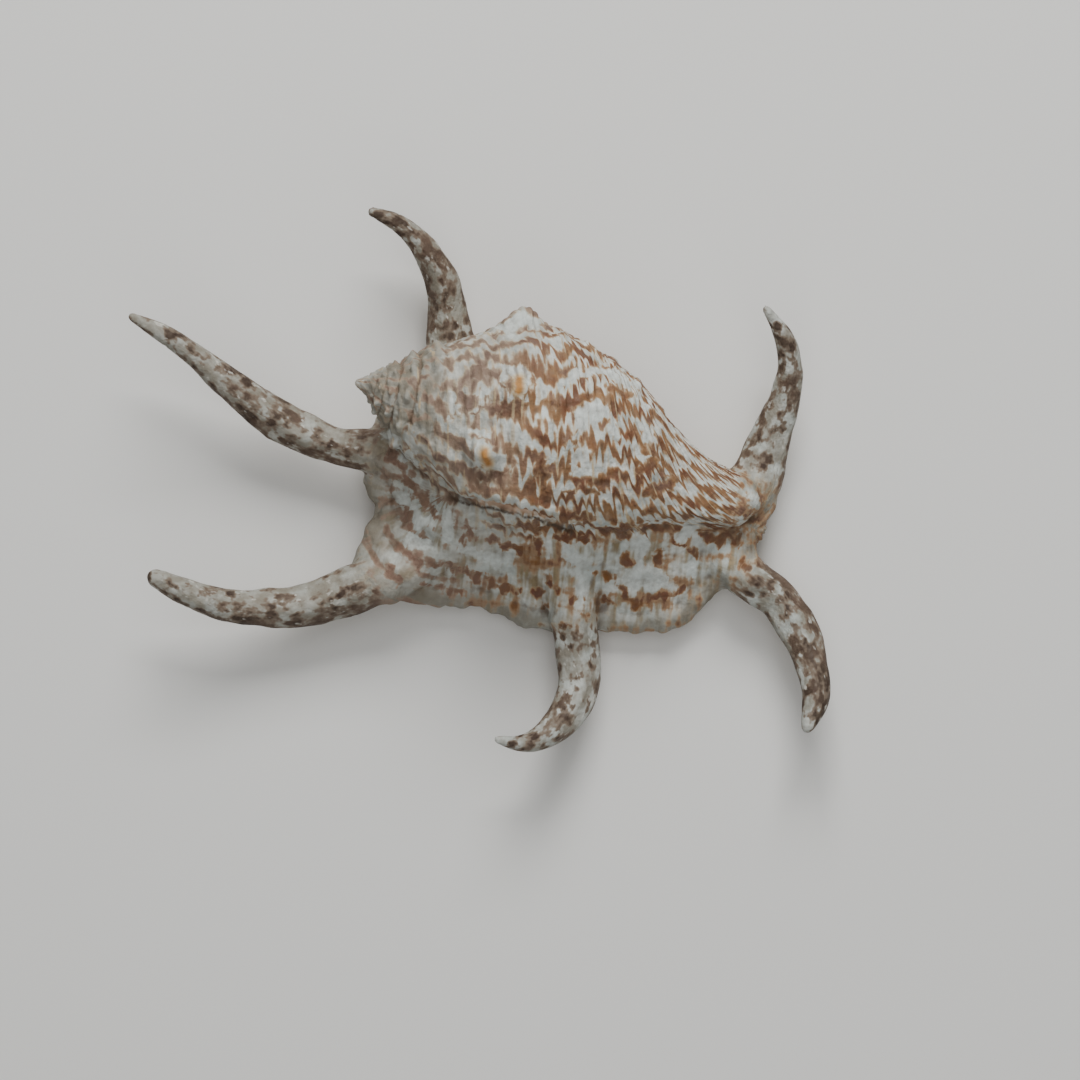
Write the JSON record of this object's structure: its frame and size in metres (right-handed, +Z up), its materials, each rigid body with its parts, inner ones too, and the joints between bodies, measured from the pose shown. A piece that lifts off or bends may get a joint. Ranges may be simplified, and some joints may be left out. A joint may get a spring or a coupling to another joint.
{
  "type": "spider conch shell",
  "caption": "Chiragra spider conch shell lying on its aperture, with a knobbed spire and body whorl, a flared outer lip and long curved digits.",
  "frame": {"origin": "middle of the bounding box, on the surface that the shell rests on", "axes": "+Z up, from the aperture side to the back of the shell; +X from the spire to the front canal; the outer lip is on the -Y side"},
  "size_m": [0.1699, 0.132, 0.0496],
  "materials": {
    "shell": "mottled white and red-brown aragonite, dull from weathering, glossy round the aperture"
  },
  "bodies": {
    "root": {"shell": "shell"}
  },
  "joints": []
}
